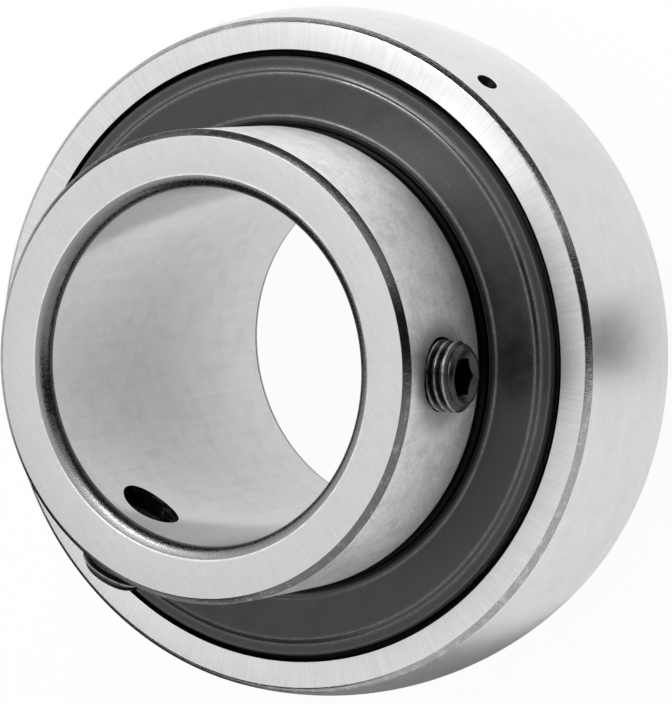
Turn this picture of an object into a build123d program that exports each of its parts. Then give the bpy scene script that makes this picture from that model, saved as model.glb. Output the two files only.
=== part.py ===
from build123d import *
import math
import os

# Insert bearing: a deep groove ball bearing with a spherical outside, a long inner ring and two
# set screws that lock it to its shaft. All lengths are millimetres.
# The origin is the centre of the spherical seat, on the shaft axis. +Z points along the shaft
# towards the long end of the inner ring, and +X points through the first set screw.

# Rings
BORE = 40.0  # shaft diameter
INNER_WALL = 6.5  # from the bore to the inner ring's outside
OUTER_WALL = 4.0  # from the ball circle's outer edge to the crown of the spherical seat
LONG_SIDE = 30.2  # from the ball plane to the inner ring's long face
SHORT_SIDE = 19.0  # from the ball plane to the inner ring's short face
BORE_ROUND = 1.45  # rounding at both ends of the bore
RING_CHAMFER = 0.75  # at both ends of the inner ring's outside
SEAT_CHAMFER = 0.41  # width taken off the outer ring's face
SEAT_CHAMFER_ANGLE = 50.0  # degrees, measured from the face
MOUTH_CHAMFER = 0.2  # inside edge of the outer ring's face

# Balls and their tracks
BALL = 12.0
BALL_COUNT = 9
TRACK_DEPTH = 2.5
TRACK_RATIO = 0.52  # track radius over ball diameter
TRACK_PLAY = 0.03  # radial play between a ball and each track

# Ribbon cage
CAGE_SHEET = 1.0
CAGE_WIDTH = 4.0  # radial width of the ribbon
POCKET_PLAY = 0.12
POCKET_ROUND = 0.6  # where a pocket rises from the flat web
RIVET = 1.6
RIVET_HEAD = 2.8
RIVET_HEAD_HEIGHT = 0.7
RIVET_HEAD_ROUND = 0.45

# Seals
SEAL_ROOM = 0.48  # from the cage to the seal
SEAT_DEPTH = 2.9  # from the outer ring's face down to the floor of the seal's seat
SEAT_STEP = 1.45  # from the outer ring's land out to the wall of that seat
CORE_SHEET = 0.5
CORE_RIM = 1.9  # height of the pressed-in rim
CORE_CLEAR = 1.95  # from the inner ring to the steel core's edge
CORE_BEND = 0.3
RUBBER = 0.5  # thickness bonded on the steel core
LIP_PLAY = 0.04  # between a lip and the face it runs on
LIP_TIP = 0.3
LIP_INSET = 1.4  # from the outer lip to the flinger's step

# Flingers
FLINGER_SHEET = 0.8
FLINGER_RISE = 1.1  # height above the outer ring's face
FLINGER_STEP = 0.5  # drop of the outer band
FLINGER_BAND = 1.25  # width of the outer band
FLINGER_SLOPE = 0.55  # width of the step between the two bands
FLINGER_HUB = 2.4  # height of the hub pressed on the inner ring
FLINGER_BEND = 1.0
FLINGER_SOFTEN = 0.25  # rounding of the step and the rim
FLINGER_GAP = 0.6  # from the rim to the wall of the seal's seat

# Set screws
SCREW = 8.0
SCREW_LENGTH = 8.0
SCREW_INSET = 8.0  # from the long face to the screws' axes
SCREW_SPREAD = 122.5  # degrees between the two screws
SCREW_STANDS_AT = (9.4, 9.7)  # from the bore's wall to each outer end
SCREW_PLAY = 0.05
SCREW_END_CHAMFER = 0.5
SCREW_POINT = 5.8  # diameter of the flat round the cup
SCREW_POINT_LENGTH = 1.0
CUP = 4.8
CUP_DEPTH = 0.7
SOCKET = 4.0  # across the flats
SOCKET_DEPTH = 4.0
SOCKET_CONE = 0.9

# Lubrication holes
LUBE_HOLE = 2.1
LUBE_LAND = 0.1  # from a hole's edge to the seal's seat
LUBE_ANGLES = (54.0, 174.0)  # degrees from the first set screw

# Radii across the rolling set
bore_radius = BORE / 2
inner_land = bore_radius + INNER_WALL
pitch_radius = inner_land - TRACK_DEPTH + BALL / 2
outer_land = pitch_radius + BALL / 2 - TRACK_DEPTH
seat_radius = pitch_radius + BALL / 2 + OUTER_WALL
track_radius = TRACK_RATIO * BALL
ball_reach = BALL / 2 + TRACK_PLAY
pocket_radius = BALL / 2 + POCKET_PLAY

# Heights above the ball plane
cage_top = pocket_radius + CAGE_SHEET
seal_floor = cage_top + SEAL_ROOM
outer_face = seal_floor + SEAT_DEPTH
flinger_top = outer_face + FLINGER_RISE
screw_height = LONG_SIDE - SCREW_INSET
lube_height = seal_floor - LUBE_LAND - LUBE_HOLE / 2
seal_wall = outer_land + SEAT_STEP
core_edge = inner_land + CORE_CLEAR
flinger_rim = seal_wall - FLINGER_GAP
flinger_step = flinger_rim - FLINGER_BAND - FLINGER_SLOPE


def section(corners):
    """Half-section from corners given as (radius, height) or (radius, height, rounding)."""
    outline = Polyline(*[corner[:2] for corner in corners], close=True)
    face = make_face(outline)
    for corner in corners:
        if len(corner) == 3:
            vertex = face.vertices().sort_by_distance(corner[:2])[0]
            face = fillet(vertex, corner[2])
    return face


def turned(face):
    """Solid of revolution of a half-section about the shaft axis."""
    return revolve(Plane.XZ * face, Axis.Z)


def band(inner, outer, low, high):
    """Plain ring between two radii and two heights."""
    return turned(section([(inner, low), (outer, low), (outer, high), (inner, high)]))


def radial(angle, start, height):
    """Place whose z axis points outwards at an angle, with its x axis along the shaft."""
    across = Plane(origin=(start, 0, height), x_dir=(0, 0, 1), z_dir=(1, 0, 0))
    return Rot(Z=angle) * across.location


def drilled(solid, diameter, angle, start, end, height):
    """The solid with a round radial hole from one radius out to another."""
    drill = Cylinder(diameter / 2, end - start, align=(Align.CENTER, Align.CENTER, Align.MIN))
    return solid - radial(angle, start, height) * drill


def make_outer_ring():
    mouth = seal_wall + MOUTH_CHAMFER
    face_edge = math.sqrt(seat_radius**2 - outer_face**2) - SEAT_CHAMFER
    past_seat = seat_radius + 1
    chamfer_drop = (past_seat - face_edge) * math.tan(math.radians(SEAT_CHAMFER_ANGLE))
    upper = [
        (outer_land, seal_floor),
        (seal_wall, seal_floor),
        (seal_wall, outer_face - MOUTH_CHAMFER),
        (mouth, outer_face),
        (face_edge, outer_face),
        (past_seat, outer_face - chamfer_drop),
    ]
    lower = [(radius, -height) for radius, height in reversed(upper)]
    track = Pos(pitch_radius + ball_reach - track_radius, 0) * Circle(track_radius)
    ring = turned((section(upper + lower) & Circle(seat_radius)) - track)
    for angle in LUBE_ANGLES:
        ring = drilled(ring, LUBE_HOLE, angle, pitch_radius, past_seat, lube_height)
    return ring


def make_inner_ring():
    chamfered = inner_land - RING_CHAMFER
    blank = section(
        [
            (bore_radius, -SHORT_SIDE, BORE_ROUND),
            (chamfered, -SHORT_SIDE),
            (inner_land, RING_CHAMFER - SHORT_SIDE),
            (inner_land, LONG_SIDE - RING_CHAMFER),
            (chamfered, LONG_SIDE),
            (bore_radius, LONG_SIDE, BORE_ROUND),
        ]
    )
    track = Pos(pitch_radius - ball_reach + track_radius, 0) * Circle(track_radius)
    ring = turned(blank - track)
    for angle in (0, -SCREW_SPREAD):
        hole = SCREW + 2 * SCREW_PLAY
        ring = drilled(ring, hole, angle, bore_radius / 2, inner_land + 1, screw_height)
    return ring


def make_cage_half():
    """Upper half of the ribbon: a flat web that rises in a round pocket over each ball."""
    places = PolarLocations(pitch_radius, BALL_COUNT)
    reach = pitch_radius + cage_top + 1
    ribbon = band(pitch_radius - CAGE_WIDTH / 2, pitch_radius + CAGE_WIDTH / 2, 0, cage_top + 1)
    sheet = Cylinder(reach, CAGE_SHEET, align=(Align.CENTER, Align.CENTER, Align.MIN))
    half = sheet + [place * Sphere(cage_top) for place in places]
    rims = half.edges().filter_by(GeomType.CIRCLE).filter_by_position(Axis.Z, CAGE_SHEET, CAGE_SHEET)
    half = fillet([rim for rim in rims if rim.radius < cage_top], POCKET_ROUND)
    half = half & ribbon
    half = half - [place * Sphere(pocket_radius) for place in places]
    return half - [place * Cylinder(RIVET / 2, 4 * CAGE_SHEET) for place in rivet_places()]


def rivet_places():
    return PolarLocations(pitch_radius, BALL_COUNT, start_angle=180 / BALL_COUNT)


def make_rivet():
    shank = Cylinder(RIVET / 2, 2 * CAGE_SHEET)
    head = Cylinder(RIVET_HEAD / 2, RIVET_HEAD_HEIGHT, align=(Align.CENTER, Align.CENTER, Align.MIN))
    head = fillet(head.edges().sort_by(Axis.Z)[-1], RIVET_HEAD_ROUND)
    upper = Pos(0, 0, CAGE_SHEET) * head
    return shank + upper + mirror(upper, about=Plane.XY)


def core_section():
    """Pressed steel washer with a rim that grips the outer ring's seat."""
    return section(
        [
            (core_edge, seal_floor),
            (seal_wall, seal_floor, CORE_BEND),
            (seal_wall, seal_floor + CORE_RIM),
            (seal_wall - CORE_SHEET, seal_floor + CORE_RIM),
            (seal_wall - CORE_SHEET, seal_floor + CORE_SHEET),
            (core_edge, seal_floor + CORE_SHEET),
        ]
    )


def rubber_section():
    """Rubber bonded round the washer's inner edge, with one lip on the inner ring and one under
    the flinger."""
    heel = core_edge - RUBBER - LIP_TIP
    top = seal_floor + CORE_SHEET + RUBBER
    ring_tip = inner_land + LIP_PLAY
    flinger_tip = flinger_top - FLINGER_SHEET - LIP_PLAY
    lip_end = flinger_step - LIP_INSET
    lip_root = lip_end - 2 * LIP_TIP
    back = lip_end + LIP_TIP
    block = section(
        [
            (heel, seal_floor),
            (back, seal_floor),
            (back, top),
            (lip_root + 2 * LIP_TIP, top),
            (lip_end, flinger_tip),
            (lip_end - LIP_TIP, flinger_tip),
            (lip_root, top),
            (heel, top),
            (ring_tip, top - LIP_TIP),
            (ring_tip, top - 2 * LIP_TIP),
        ]
    )
    return block - core_section()


def make_flinger():
    """Pressed steel disc with a hub on the inner ring and a lower band at its rim."""
    low_top = flinger_top - FLINGER_STEP
    low_edge = flinger_step + FLINGER_SLOPE
    under = FLINGER_SHEET
    return turned(
        section(
            [
                (inner_land, flinger_top - FLINGER_HUB),
                (inner_land + under, flinger_top - FLINGER_HUB),
                (inner_land + under, flinger_top - under, FLINGER_SOFTEN),
                (flinger_step, flinger_top - under),
                (low_edge, low_top - under),
                (flinger_rim, low_top - under),
                (flinger_rim, low_top, FLINGER_SOFTEN),
                (low_edge, low_top, FLINGER_SOFTEN),
                (flinger_step, flinger_top, FLINGER_SOFTEN),
                (inner_land, flinger_top, FLINGER_BEND),
            ]
        )
    )


def make_set_screw():
    """Cup point screw with a hexagon socket, along +Z with its point at the origin."""
    body = turned(
        section(
            [
                (0, CUP_DEPTH),
                (CUP / 2, 0),
                (SCREW_POINT / 2, 0),
                (SCREW / 2, SCREW_POINT_LENGTH),
                (SCREW / 2, SCREW_LENGTH - SCREW_END_CHAMFER),
                (SCREW / 2 - SCREW_END_CHAMFER, SCREW_LENGTH),
                (0, SCREW_LENGTH),
            ]
        )
    )
    hexagon = RegularPolygon(SOCKET / 2, 6, major_radius=False)
    floor = SCREW_LENGTH - SOCKET_DEPTH
    socket = Pos(0, 0, floor) * extrude(hexagon, SOCKET_DEPTH)
    drill_point = Cone(0, SOCKET / 2, SOCKET_CONE, align=(Align.CENTER, Align.CENTER, Align.MAX))
    return body - socket - Pos(0, 0, floor) * drill_point


def pair(name, front):
    """The same piece on both sides of the ball plane."""
    return {f"{name}_front": front, f"{name}_rear": mirror(front, about=Plane.XY)}


pieces = {"outer_ring": make_outer_ring(), "inner_ring": make_inner_ring()}
for number, place in enumerate(PolarLocations(pitch_radius, BALL_COUNT), start=1):
    pieces[f"ball_{number}"] = place * Sphere(BALL / 2)
pieces.update(pair("cage", make_cage_half()))
for number, place in enumerate(rivet_places(), start=1):
    pieces[f"cage_rivet_{number}"] = place * make_rivet()
pieces.update(pair("seal_core", turned(core_section())))
pieces.update(pair("seal_rubber", turned(rubber_section())))
pieces.update(pair("flinger", make_flinger()))
for number, (angle, stands_at) in enumerate(zip((0, -SCREW_SPREAD), SCREW_STANDS_AT), start=1):
    point = bore_radius + stands_at - SCREW_LENGTH
    pieces[f"set_screw_{number}"] = radial(angle, point, screw_height) * make_set_screw()

os.makedirs("parts", exist_ok=True)
for name, piece in pieces.items():
    export_step(piece, f"parts/{name}.step")
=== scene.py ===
import logging
import math
from collections.abc import Callable
from dataclasses import dataclass
from enum import Enum
from functools import cache

import bmesh
import bpy
from mathutils import Matrix, Vector


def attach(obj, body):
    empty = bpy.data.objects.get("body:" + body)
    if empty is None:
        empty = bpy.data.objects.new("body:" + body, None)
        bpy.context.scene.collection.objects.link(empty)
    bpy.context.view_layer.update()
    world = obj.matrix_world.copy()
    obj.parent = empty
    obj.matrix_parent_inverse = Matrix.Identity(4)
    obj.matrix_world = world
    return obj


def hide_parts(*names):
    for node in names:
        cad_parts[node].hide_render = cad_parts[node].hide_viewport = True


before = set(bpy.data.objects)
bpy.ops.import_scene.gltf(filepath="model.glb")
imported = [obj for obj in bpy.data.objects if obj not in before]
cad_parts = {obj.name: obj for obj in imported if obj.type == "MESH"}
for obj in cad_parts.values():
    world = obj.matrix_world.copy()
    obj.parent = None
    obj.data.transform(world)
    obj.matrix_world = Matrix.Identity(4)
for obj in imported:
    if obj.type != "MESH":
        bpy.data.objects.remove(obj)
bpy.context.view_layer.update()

log = logging.getLogger("insert_bearing")

MM = 0.001
Piece = bpy.types.Object
Material = bpy.types.Material
Socket = bpy.types.NodeSocket
Outputs = bpy.types.NodeOutputs
Colour = tuple[float, float, float, float]
Test = Callable[[Vector, Vector], bool]  # told a middle in millimetres and a normal


def grey(level: float, warmth: float = 0.0) -> Colour:
    """A grey as a linear colour, with a share of its level moved from blue to red."""
    return (level * (1 + warmth), level, level * (1 - warmth), 1.0)


# Workshop: the steps that every piece is modelled with
class Bench:
    """Operator steps on the piece in hand."""

    @staticmethod
    def clear() -> None:
        """Leave nothing selected."""
        bpy.ops.object.select_all(action="DESELECT")

    @staticmethod
    def pick(piece: Piece) -> None:
        """Make one piece the only one selected, and active."""
        Bench.clear()
        piece.select_set(True)
        bpy.context.view_layer.objects.active = piece

    @staticmethod
    def choose(piece: Piece, kind: str, test: Test) -> None:
        """Select vertices or faces by their place.

        Args:
            piece: The piece, in edit mode.
            kind: VERT or FACE.
            test: Whether to select the one with this middle and this normal.
        """
        bpy.ops.mesh.select_mode(type=kind)
        bpy.ops.mesh.select_all(action="DESELECT")
        mesh = bmesh.from_edit_mesh(piece.data)
        for part in mesh.verts if kind == "VERT" else mesh.faces:
            middle = part.co if kind == "VERT" else part.calc_center_median()
            if test(middle / MM, part.normal):
                part.select = True
        mesh.select_flush_mode()
        bmesh.update_edit_mesh(piece.data)

    @staticmethod
    def modify(piece: Piece, kind: str, **settings: object) -> None:
        """Add one modifier to the piece and apply it.

        Args:
            piece: The piece, in object mode.
            kind: Kind of modifier.
            settings: Its options by name.
        """
        Bench.pick(piece)
        bpy.ops.object.modifier_add(type=kind)
        modifier = piece.modifiers[-1]
        for name, value in settings.items():
            setattr(modifier, name, value)
        bpy.ops.object.modifier_apply(modifier=modifier.name)

    @staticmethod
    def combine(piece: Piece, tool: Piece, operation: str = "DIFFERENCE") -> None:
        """Cut the piece with a tool, join both or keep what both hold, and put the tool away."""
        Bench.modify(piece, "BOOLEAN", operation=operation, object=tool, solver="EXACT")
        bpy.data.objects.remove(tool)

    @staticmethod
    def place(piece: Piece, where: Matrix) -> None:
        """Move the piece there and write its place into its mesh."""
        Bench.pick(piece)
        piece.matrix_world = where
        bpy.ops.object.transform_apply(location=True, rotation=True, scale=True)

    @staticmethod
    def copy(piece: Piece, name: str) -> Piece:
        """Another piece of the same shape with its own mesh."""
        Bench.pick(piece)
        bpy.ops.object.duplicate(linked=False)
        bpy.context.object.name = name
        return bpy.context.object

    @staticmethod
    def tidy(piece: Piece, angle: float = 32.0) -> None:
        """Merge doubles, turn faces outwards and shade smooth.

        Args:
            piece: The piece, in object mode.
            angle: Edges sharper than this, in degrees, stay crisp.
        """
        Bench.pick(piece)
        bpy.ops.object.mode_set(mode="EDIT")
        bpy.ops.mesh.select_all(action="SELECT")
        bpy.ops.mesh.remove_doubles(threshold=0.0005 * MM)
        bpy.ops.mesh.normals_make_consistent(inside=False)
        bpy.ops.object.mode_set(mode="OBJECT")
        bpy.ops.object.shade_smooth_by_angle(angle=math.radians(angle))


class Outline:
    """A half-section drawn point by point in the XZ plane, in millimetres, and turned about Z."""

    reach = 0.002  # within this distance a vertex counts as lying at a point

    def __init__(self, name: str, radius: float, height: float) -> None:
        """Start the line at a radius and a height."""
        Bench.clear()
        bpy.ops.mesh.primitive_plane_add(size=MM)
        self.piece = bpy.context.object
        self.piece.name = name
        bpy.ops.object.mode_set(mode="EDIT")
        bpy.ops.mesh.select_mode(type="VERT")
        bpy.ops.mesh.select_all(action="SELECT")
        bpy.ops.mesh.merge(type="CENTER")
        bpy.ops.transform.translate(value=(radius * MM, 0, height * MM))
        self.start = self.here = (radius, height)
        self.corners: list[tuple[float, float, float, int]] = []

    def line(self, radius: float, height: float, rounding: float = 0.0, steps: int = 3) -> None:
        """Draw a straight line.

        Args:
            radius: Where it ends.
            height: Where it ends.
            rounding: Distance from the corner at which its rounding starts.
            steps: Faces across that rounding.
        """
        move = ((radius - self.here[0]) * MM, 0, (height - self.here[1]) * MM)
        bpy.ops.mesh.extrude_region_move(TRANSFORM_OT_translate={"value": move})
        self.here = (radius, height)
        if rounding:
            self.corners.append((radius, height, rounding, steps))

    def arc(self, radius: float, height: float, degrees: float, steps: int) -> None:
        """Draw an arc about a centre, clockwise when the angle is positive.

        Args:
            radius: The centre's.
            height: The centre's.
            degrees: Angle of the arc.
            steps: Straight pieces in it.
        """
        turn = math.radians(degrees)
        bpy.ops.mesh.spin(steps=steps, angle=-turn, center=(radius * MM, 0, height * MM), axis=(0, 1, 0))
        across, up = self.here[0] - radius, self.here[1] - height
        self.here = (radius + across * math.cos(turn) + up * math.sin(turn),
                     height - across * math.sin(turn) + up * math.cos(turn))

    def near(self, *points: tuple[float, float]) -> None:
        """Select the vertices that lie at these radii and heights."""
        spots = [Vector((radius, 0, height)) for radius, height in points]
        Bench.choose(self.piece, "VERT",
                     lambda middle, _: any((middle - spot).length < self.reach for spot in spots))

    def close(self) -> "Outline":
        """Join the line's two ends."""
        self.near(self.start, self.here)
        bpy.ops.mesh.edge_face_add()
        return self

    def turn(self, steps: int) -> Piece:
        """Round the noted corners and turn the line about the Z axis.

        Args:
            steps: Faces round the axis.

        Returns:
            The finished solid.
        """
        for radius, height, rounding, count in self.corners:
            self.near((radius, height))
            bpy.ops.mesh.bevel(offset=rounding * MM, segments=count, affect="VERTICES")
        bpy.ops.mesh.select_all(action="SELECT")
        bpy.ops.mesh.spin(steps=steps, angle=math.tau, center=(0, 0, 0), axis=(0, 0, 1))
        bpy.ops.object.mode_set(mode="OBJECT")
        Bench.tidy(self.piece)
        return self.piece


# Shader nodes
class Sketch:
    """Adds nodes to one node tree and joins their sockets."""

    def __init__(self, tree: bpy.types.NodeTree) -> None:
        """Work in the given tree."""
        self.tree = tree

    def link(self, value: Socket, node: bpy.types.Node, name: str | int) -> None:
        """Join a value to a node's input."""
        self.tree.links.new(value, node.inputs[name])

    def add(self, kind: str, settings: dict | None = None, inputs: dict | None = None) -> bpy.types.Node:
        """Add a node.

        Args:
            kind: Kind of node.
            settings: Options by name.
            inputs: A number, colour or socket for each input.

        Returns:
            The node.
        """
        node = self.tree.nodes.new(kind)
        for name, value in (settings or {}).items():
            setattr(node, name, value)
        for name, value in (inputs or {}).items():
            if isinstance(value, Socket):
                self.link(value, node, name)
            else:
                node.inputs[name].default_value = value
        return node

    def maths(self, operation: str, first: Socket | float, second: Socket | float = 0.0) -> Socket:
        """The result of one Math node."""
        return self.add("ShaderNodeMath", {"operation": operation}, {0: first, 1: second}).outputs[0]

    def vector(self, operation: str, first: Socket, second: Socket | tuple | float = (0, 0, 0)) -> Socket:
        """The result of one Vector Math node.

        Args:
            operation: What it does.
            first: A vector.
            second: The other vector, or the number that scales the first.

        Returns:
            A vector, or a number where that is what the operation gives.
        """
        other = "Scale" if operation == "SCALE" else 1
        node = self.add("ShaderNodeVectorMath", {"operation": operation}, {0: first, other: second})
        return node.outputs["Value" if operation in ("LENGTH", "DISTANCE", "DOT_PRODUCT") else "Vector"]

    def rise(self, value: Socket, low: float, high: float, bottom: float = 0.0, top: float = 1.0) -> Socket:
        """A value that goes smoothly from bottom to top while the input goes from low to high."""
        inputs = dict(enumerate((value, low, high, bottom, top)))
        return self.add("ShaderNodeMapRange", {"interpolation_type": "SMOOTHSTEP"}, inputs).outputs[0]

    def mix(self, amount: Socket, first: Socket | Colour, second: Socket | Colour) -> Socket:
        """A colour between two."""
        return self.add("ShaderNodeMix", {"data_type": "RGBA"}, {0: amount, 6: first, 7: second}).outputs[2]

    def noise(self, place: Socket, detail: float, roughness: float, fourth: Socket | None = None,
              scale: Socket | float = 1.0) -> Socket:
        """Noise from 0 to 1.

        Args:
            place: Where to read it.
            detail: Octaves.
            roughness: Weight of the finer octaves.
            fourth: Fourth coordinate, if the noise has one.
            scale: Size of the coordinates.

        Returns:
            The level.
        """
        inputs = {"Vector": place, "Scale": scale, "Detail": detail, "Roughness": roughness}
        if fourth:
            inputs["W"] = fourth
        settings = {"noise_dimensions": "4D" if fourth else "3D"}
        return self.add("ShaderNodeTexNoise", settings, inputs).outputs["Fac"]

    def group(self, tree: bpy.types.NodeTree, inputs: dict) -> Outputs:
        """Place a node group with its own values."""
        return self.add("ShaderNodeGroup", {"node_tree": tree}, inputs).outputs

    def round_place(self, vector: Socket) -> tuple[Socket, Socket, Socket]:
        """Radius and height of a point in millimetres and its direction from the shaft axis."""
        scaled = self.vector("SCALE", vector, 1 / MM)
        flat = self.vector("MULTIPLY", scaled, (1, 1, 0))
        height = self.add("ShaderNodeSeparateXYZ", inputs={0: scaled}).outputs[2]
        return self.vector("LENGTH", flat), height, self.vector("NORMALIZE", flat)


def open_group(name: str, inputs: dict[str, float], *outputs: str) -> tuple[Sketch, Outputs, bpy.types.Node]:
    """Open a new node group.

    Args:
        name: Name of the group.
        inputs: Number inputs with their values, after the Vector input that every group has.
        outputs: Names of the number outputs.

    Returns:
        The sketch, the inputs' sockets and the output node.
    """
    tree = bpy.data.node_groups.new(name, "ShaderNodeTree")
    tree.interface.new_socket("Vector", in_out="INPUT", socket_type="NodeSocketVector")
    for label, value in inputs.items():
        tree.interface.new_socket(label, in_out="INPUT", socket_type="NodeSocketFloat").default_value = value
    for label in outputs:
        tree.interface.new_socket(label, in_out="OUTPUT", socket_type="NodeSocketFloat")
    return Sketch(tree), tree.nodes.new("NodeGroupInput").outputs, tree.nodes.new("NodeGroupOutput")


class Effects:
    """Node groups that several finishes share. Each is built once."""

    @staticmethod
    @cache
    def shaft_place() -> bpy.types.NodeTree:
        """Group that gives the radius and the height of a point, in millimetres."""
        sketch, entry, leave = open_group("shaft_place", {}, "Radius", "Height")
        radius, height, _ = sketch.round_place(entry["Vector"])
        sketch.link(radius, leave, 0)
        sketch.link(height, leave, 1)
        return sketch.tree

    @staticmethod
    @cache
    def round_lines() -> bpy.types.NodeTree:
        """Group of grinding lines that run round the shaft axis, fine and broad."""
        values = {"Lines per mm": 8.0, "Breaks": 3.0}
        sketch, entry, leave = open_group("round_lines", values, "Fine", "Broad")
        radius, height, around = sketch.round_place(entry["Vector"])
        for index, (rate_share, breaks_share) in enumerate(((1.0, 1.0), (0.09, 0.35))):
            rate = sketch.maths("MULTIPLY", entry["Lines per mm"], rate_share)
            swing = sketch.vector("SCALE", around, sketch.maths("MULTIPLY", entry["Breaks"], breaks_share))
            lift = sketch.add("ShaderNodeCombineXYZ", inputs={2: sketch.maths("MULTIPLY", height, rate)})
            place = sketch.vector("ADD", swing, lift.outputs[0])
            sketch.link(sketch.noise(place, 2.5, 0.5, sketch.maths("MULTIPLY", radius, rate)), leave, index)
        return sketch.tree

    @staticmethod
    @cache
    def cross_lines() -> bpy.types.NodeTree:
        """Group of streaks that point away from the shaft axis on a face, and along it in the bore."""
        sketch, entry, leave = open_group("cross_lines", {"Streaks": 60.0, "Length mm": 4.0}, "Lines")
        radius, height, around = sketch.round_place(entry["Vector"])
        along = sketch.maths("DIVIDE", sketch.maths("ADD", radius, height), entry["Length mm"])
        sketch.link(sketch.noise(sketch.vector("SCALE", around, entry["Streaks"]), 3.0, 0.6, along), leave, 0)
        return sketch.tree

    @staticmethod
    @cache
    def straight_lines() -> bpy.types.NodeTree:
        """Group of straight grinding lines across a face, at an angle."""
        values = {"Angle": 0.0, "Lines per mm": 5.0, "Length mm": 6.0}
        sketch, entry, leave = open_group("straight_lines", values, "Lines")
        inputs = {"Vector": sketch.vector("SCALE", entry["Vector"], 1 / MM), "Angle": entry["Angle"]}
        turned = sketch.add("ShaderNodeVectorRotate", {"rotation_type": "Z_AXIS"}, inputs)
        along, across, up = sketch.add("ShaderNodeSeparateXYZ", inputs={0: turned.outputs[0]}).outputs
        place = sketch.add("ShaderNodeCombineXYZ", inputs={
            0: sketch.maths("DIVIDE", along, entry["Length mm"]),
            1: sketch.maths("MULTIPLY", across, entry["Lines per mm"]),
            2: sketch.maths("MULTIPLY", up, 0.5)})
        sketch.link(sketch.noise(place.outputs[0], 3.0, 0.6), leave, 0)
        return sketch.tree

    @staticmethod
    @cache
    def mottle() -> bpy.types.NodeTree:
        """Group of soft uneven patches with grains in them."""
        values = {"Patches per mm": 1.0, "Contrast": 1.0}
        sketch, entry, leave = open_group("mottle", values, "Patches", "Grains")
        scaled = sketch.vector("SCALE", entry["Vector"], 1 / MM)
        for index, (share, detail) in enumerate(((1.0, 4.0), (6.0, 1.5))):
            rate = sketch.maths("MULTIPLY", entry["Patches per mm"], share)
            noise = sketch.noise(scaled, detail, 0.6, scale=rate)
            centred = sketch.maths("MULTIPLY", sketch.maths("SUBTRACT", noise, 0.5), entry["Contrast"])
            level = sketch.add("ShaderNodeClamp", inputs={0: sketch.maths("ADD", centred, 0.5)})
            sketch.link(level.outputs[0], leave, index)
        return sketch.tree


class Surface(Sketch):
    """The node tree of one new material, with its shader and the object's coordinates."""

    def __init__(self, name: str, **sockets: float | Colour) -> None:
        """Start the material.

        Args:
            name: Name of the material.
            sockets: Plain values of its shader, with underscores for spaces.
        """
        self.material = bpy.data.materials.new(name)
        self.material.use_nodes = True
        super().__init__(self.material.node_tree)
        self.shader = self.tree.nodes["Principled BSDF"]
        for label, value in sockets.items():
            self.shader.inputs[label.replace("_", " ")].default_value = value
        self.place = self.add("ShaderNodeTexCoord").outputs["Object"]

    def shaft(self) -> Outputs:
        """Radius and height."""
        return self.group(Effects.shaft_place(), {"Vector": self.place})

    def rounds(self, rate: float, breaks: float) -> Outputs:
        """Lines round the shaft axis."""
        values = {"Vector": self.place, "Lines per mm": rate, "Breaks": breaks}
        return self.group(Effects.round_lines(), values)

    def straights(self, angle: float, rate: float, length: float) -> Socket:
        """Straight lines."""
        values = {"Vector": self.place, "Angle": angle, "Lines per mm": rate, "Length mm": length}
        return self.group(Effects.straight_lines(), values)["Lines"]

    def spots(self, rate: float, contrast: float) -> Outputs:
        """Patches and grains."""
        values = {"Vector": self.place, "Patches per mm": rate, "Contrast": contrast}
        return self.group(Effects.mottle(), values)

    def finish(self, colour: Socket, rough: Socket, height: Socket, depth: float) -> Material:
        """Join colour, roughness and a ripple to the shader.

        Args:
            colour: The base colour.
            rough: The roughness.
            height: The ripple, from 0 to 1.
            depth: Its depth in millimetres.

        Returns:
            The material.
        """
        bump = self.add("ShaderNodeBump", {}, {"Strength": 1.0, "Distance": depth * MM, "Height": height})
        for value, name in ((colour, "Base Color"), (rough, "Roughness"), (bump.outputs[0], "Normal")):
            self.link(value, self.shader, name)
        return self.material


# Finishes
class Lay(Enum):
    """Which way the grinding lines of a surface run."""

    ROUND = "round the shaft axis"
    ACROSS = "away from the shaft axis, or along it in the bore"
    STRAIGHT = "straight across the face"


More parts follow.
